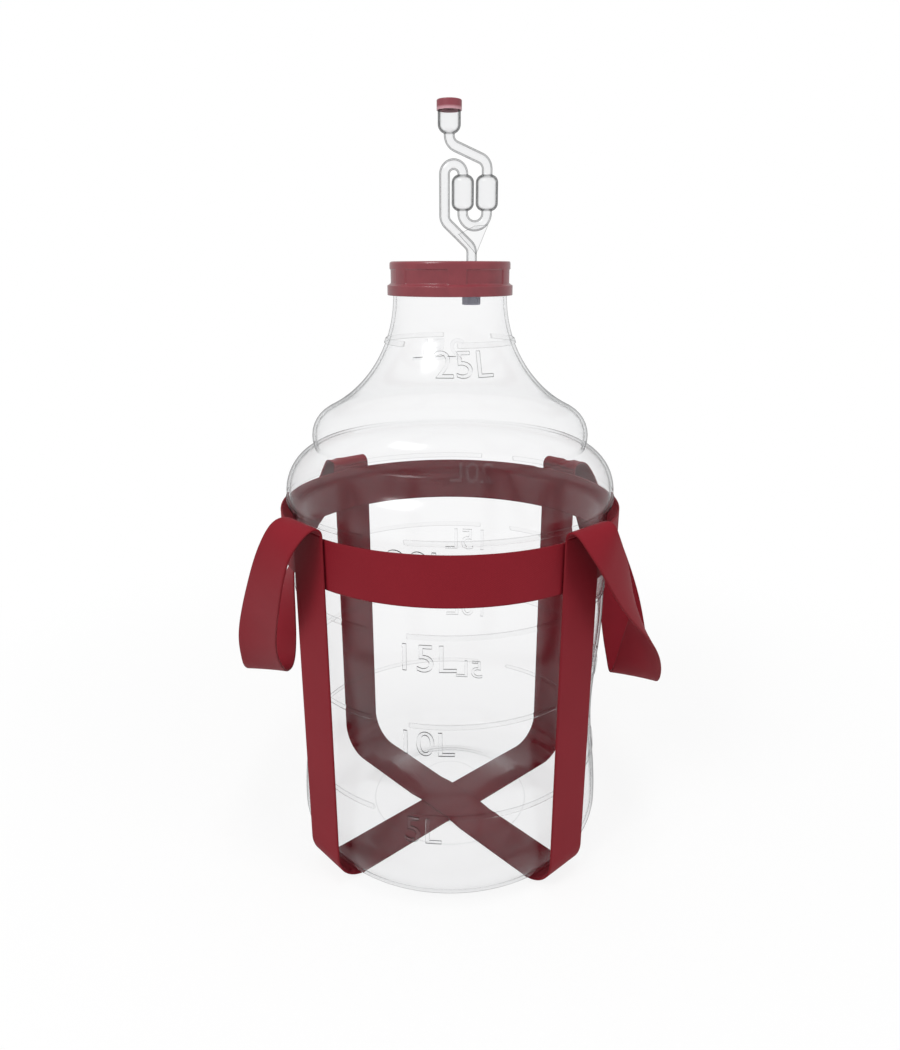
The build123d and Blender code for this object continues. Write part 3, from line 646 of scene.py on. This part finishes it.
# Airlock: one clear tube bent into an S, blown out into two chambers and a cup. A thin fin braces its foot.
tube_radius, tube_wall = 4.3, 1.0
left_bulb_x, right_bulb_x, cup_x = 10.5, 30.3, -0.6
bulb_bottom, bulb_length, bulb_radius, bulb_rounding = 39.5, 27.6, 9.1, 6.0
cup_bottom, cup_top, cup_radius, cup_rounding = 97.3, 120.3, 9.2, 7.0
route = rounded_route(
    [(stem_x, -31.0), (stem_x, 10.8), (-4.5, 32.0), (-4.5, 75.0), (left_bulb_x, 75.0), (left_bulb_x, 28.0),
     (right_bulb_x, 28.0), (right_bulb_x, 77.1), (cup_x, 90.5), (cup_x, cup_top)],
    [9.0, 9.0, 7.49, 7.49, 9.89, 9.89, 9.0, 9.0], 0.45,
)
tangent = np.gradient(route, axis=0)
tangent /= np.linalg.norm(tangent, axis=1)[:, None]


def swelling(height, low, high, radius, rounding):
    """Radius of a straight-sided chamber at a height: full between its rounded ends, where it is the ends' circle."""
    inside_end = np.clip(np.minimum(height - low, high - height), 0, rounding)
    full = radius - rounding + np.sqrt(np.clip(rounding**2 - (rounding - inside_end) ** 2, 0, None))
    return np.where((height > low) & (height < high), full, 0)


walls = []
for skin in (0.0, tube_wall):
    radius = np.full(len(route), tube_radius - skin)
    for x in (left_bulb_x, right_bulb_x):
        chamber = swelling(
            route[:, 1], bulb_bottom + skin, bulb_bottom + bulb_length - skin, bulb_radius - skin, bulb_rounding - skin
        )
        radius = np.where(np.abs(route[:, 0] - x) < 0.01, np.maximum(radius, chamber), radius)
    bowl = swelling(route[:, 1], cup_bottom + skin, 999, cup_radius - skin, cup_rounding - skin)
    radius = np.maximum(radius, np.where(np.abs(route[:, 0] - cup_x) < 0.01, bowl, 0))
    around = np.linspace(0, 2 * math.pi, 41)
    centre = np.stack([route[:, 0], 0 * route[:, 0], route[:, 1] + cap_top], 1)
    normal = np.stack([tangent[:, 1], 0 * tangent[:, 0], -tangent[:, 0]], 1)
    circle = np.cos(around)[None, :, None] * normal[:, None] + np.sin(around)[None, :, None] * (0.0, 1.0, 0.0)
    walls.append(centre[:, None] + radius[:, None, None] * circle)
tube_grid = np.concatenate([walls[0], walls[1][::-1], walls[0][:1]])
airlock_plastic = clear_plastic("airlock_plastic", 1.02, 75.0, (0.3, 0.82), 0.0, True)
airlock = grid_piece("airlock_tube", tube_grid, airlock_plastic)
fin_outline = np.array([(22.0, 5.5), (31.9, 29.0), (20.4, 28.0), (6.85, 21.4)]) + (0, cap_top)
fin_middle, fin_thickness = fin_outline.mean(0), 1.2
# Painted shade: the rows at the fin's border get a painted dark outline.
fin_rows, edge_rows = [], []
for share, side, on_edge in (
    (0, -1, 0), (0.93, -1, 0), (0.96, -1, 1), (1, -1, 1), (1, 1, 1), (0.96, 1, 1), (0.93, 1, 0), (0, 1, 0),
):
    ring = fin_middle + (fin_outline[[0, 1, 2, 3, 0]] - fin_middle) * share
    fin_rows.append(np.stack([ring[:, 0], np.full(5, side * fin_thickness / 2), ring[:, 1]], 1))
    edge_rows.append(np.full(5, on_edge, np.float32))
fin = grid_piece("airlock_fin", np.stack(fin_rows), airlock_plastic, painted_outline_weights=np.stack(edge_rows))
fin.data.polygons.foreach_set("use_smooth", np.zeros(len(fin.data.polygons), bool))
for piece in (airlock, fin):
    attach(piece, "airlock_body")
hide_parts("airlock_stem", "airlock_trap", "airlock_top")
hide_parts("airlock_trap")

# Dust cap: a small push-on cap of red plastic over the airlock's cup, with four vent holes. Its skirt is painted
# paler than the top: painted light for the light that its thin wall lets through.
dust_plastic, tree, shader = new_material("dust_cap_plastic", Roughness=0.3, IOR=1.45, Transmission_Weight=0.25)
place = tree.add("TexCoord", output="Object")
cloud = tree.add("TexNoise", None, {"Vector": place, "Scale": 90.0, "Detail": 2.0})
height = tree.add("SeparateXYZ", None, {0: place}, "Z")
colour = cloud.mix((0.27, 0.055, 0.075, 1), (0.33, 0.075, 0.095, 1))
# Painted light: below 0.6572 m the colour turns pale pink, for the skirt seen lit through its thin wall.
colour = height.between(0.6572, 0.6592).mix((0.62, 0.33, 0.37, 1), colour)
tree.tree.links.new(colour.socket, shader.inputs["Base Color"])
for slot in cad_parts["airlock_cap"].material_slots:
    slot.material = dust_plastic
